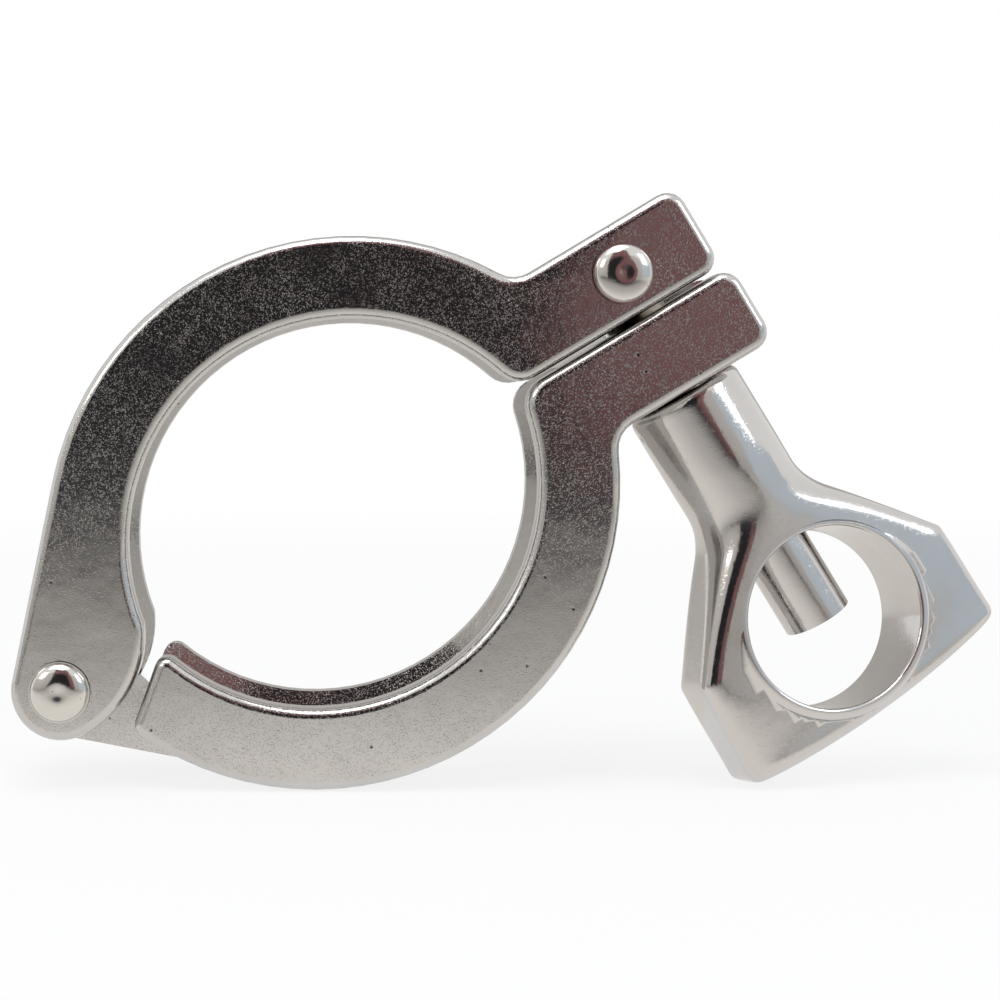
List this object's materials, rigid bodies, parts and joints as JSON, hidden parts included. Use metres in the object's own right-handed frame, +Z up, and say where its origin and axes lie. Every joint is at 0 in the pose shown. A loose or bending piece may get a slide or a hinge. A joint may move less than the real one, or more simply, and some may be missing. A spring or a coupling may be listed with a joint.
{
  "type": "sanitary clamp",
  "caption": "Hinged sanitary tube clamp with V-grooved cast jaws, a pivoting swing bolt and a wing nut with a finger hole; it wedges two ferrule flanges together.",
  "frame": {"origin": "on the ground under the middle of the bounding box, with the clamp standing on its edge", "axes": "+X from the hinge towards the wing nut, +Y along the pipe, from the side the picture shows to the far side, +Z up"},
  "size_m": [0.122, 0.0214, 0.0721],
  "materials": {
    "upper_jaw": "polished over a finely pitted cast skin",
    "lower_jaw": "polished over a finely pitted cast skin",
    "rivet": "polished",
    "bolt": "satin, rolled thread",
    "nut": "bright polished"
  },
  "bodies": {
    "lower_jaw": {"lower_jaw": "lower_jaw"},
    "upper_jaw": {"upper_jaw": "upper_jaw", "hinge_pin": "rivet", "bolt_pin": "rivet"},
    "swing_bolt": {"swing_bolt": "bolt"},
    "wing_nut": {"wing_nut": "nut"}
  },
  "joints": [
    {"name": "jaw_hinge", "type": "hinge", "parent": "lower_jaw", "child": "upper_jaw", "pos_m": [-0.055, 0, 0.01197], "axis": [0, -1, 0], "range_deg": [0, 12]},
    {"name": "bolt_swing", "type": "hinge", "parent": "upper_jaw", "child": "swing_bolt", "pos_m": [0.01276, 0, 0.06232], "axis": [0, -1, 0], "range_deg": [0, 85]},
    {"name": "nut_travel", "type": "slide", "parent": "swing_bolt", "child": "wing_nut", "axis": [0.5189, 0, -0.8548], "range_m": [0, 0.0285]}
  ],
  "couplings": [
    {"joint": "bolt_swing", "follows": "nut_travel", "rad_per_m": 52},
    {"joint": "jaw_hinge", "follows": "nut_travel", "rad_per_m": 7.34}
  ]
}
